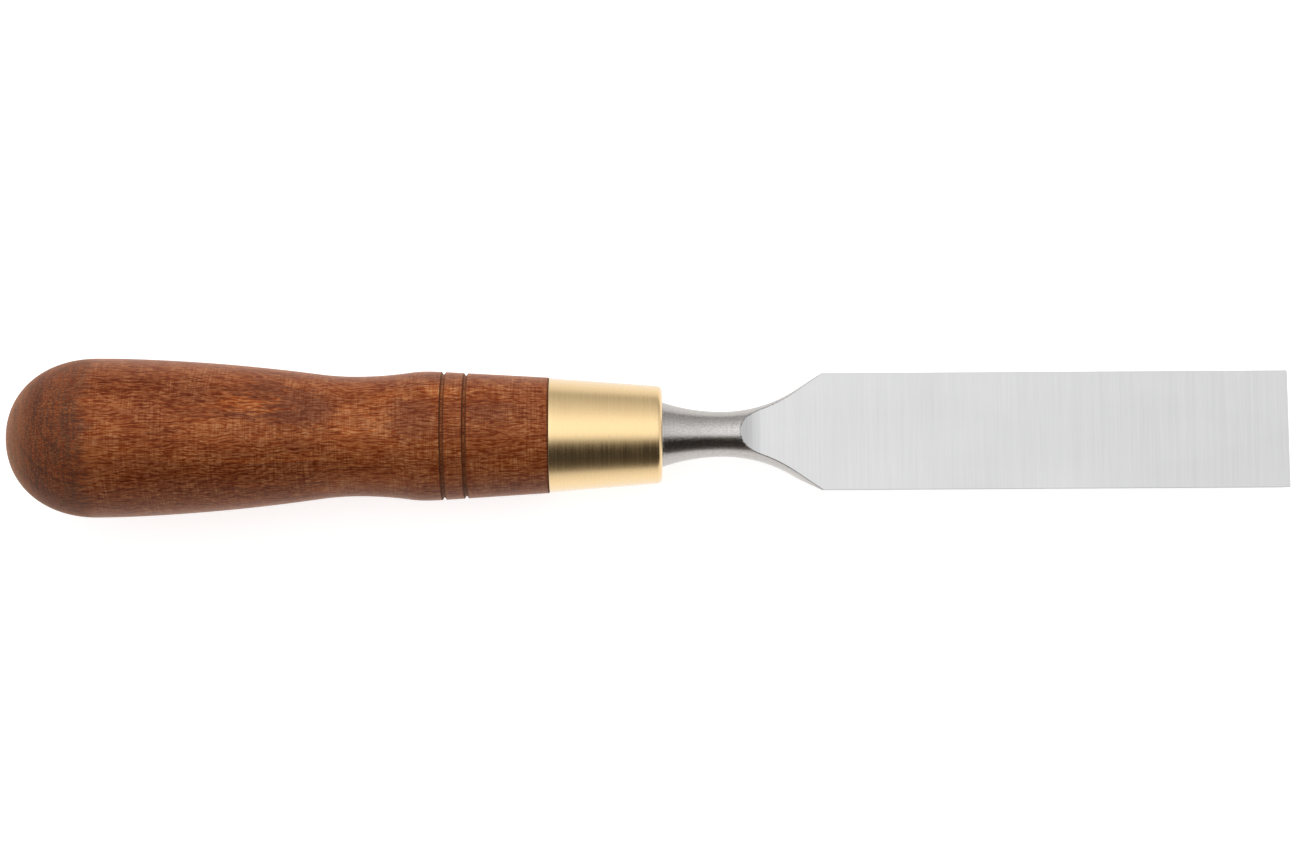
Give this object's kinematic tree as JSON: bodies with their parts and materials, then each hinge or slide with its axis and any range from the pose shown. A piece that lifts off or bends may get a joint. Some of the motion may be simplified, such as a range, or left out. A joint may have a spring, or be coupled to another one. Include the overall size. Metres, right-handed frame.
{
  "type": "bevel edge chisel",
  "caption": "Woodworking chisel with a flat-backed, bevel-sided steel blade, a round waisted neck, a tapered brass ferrule and a turned hardwood handle with burnt grooves.",
  "frame": {"origin": "middle of the cutting edge, on the flat back", "axes": "+X along the tool away from the handle, so the whole tool lies at x <= 0; +Z out of the flat back; +Y across the blade"},
  "size_m": [0.283, 0.0352, 0.0352],
  "materials": {
    "blade_steel": "ground bright steel, fine marks across the flat back, satin round neck",
    "ferrule_brass": "satin brass with fine marks round it",
    "handle_wood": "stained and waxed hardwood, grain along the handle, two burnt grooves"
  },
  "bodies": {
    "root": {"blade": "blade_steel", "ferrule": "ferrule_brass", "handle": "handle_wood"}
  },
  "joints": []
}
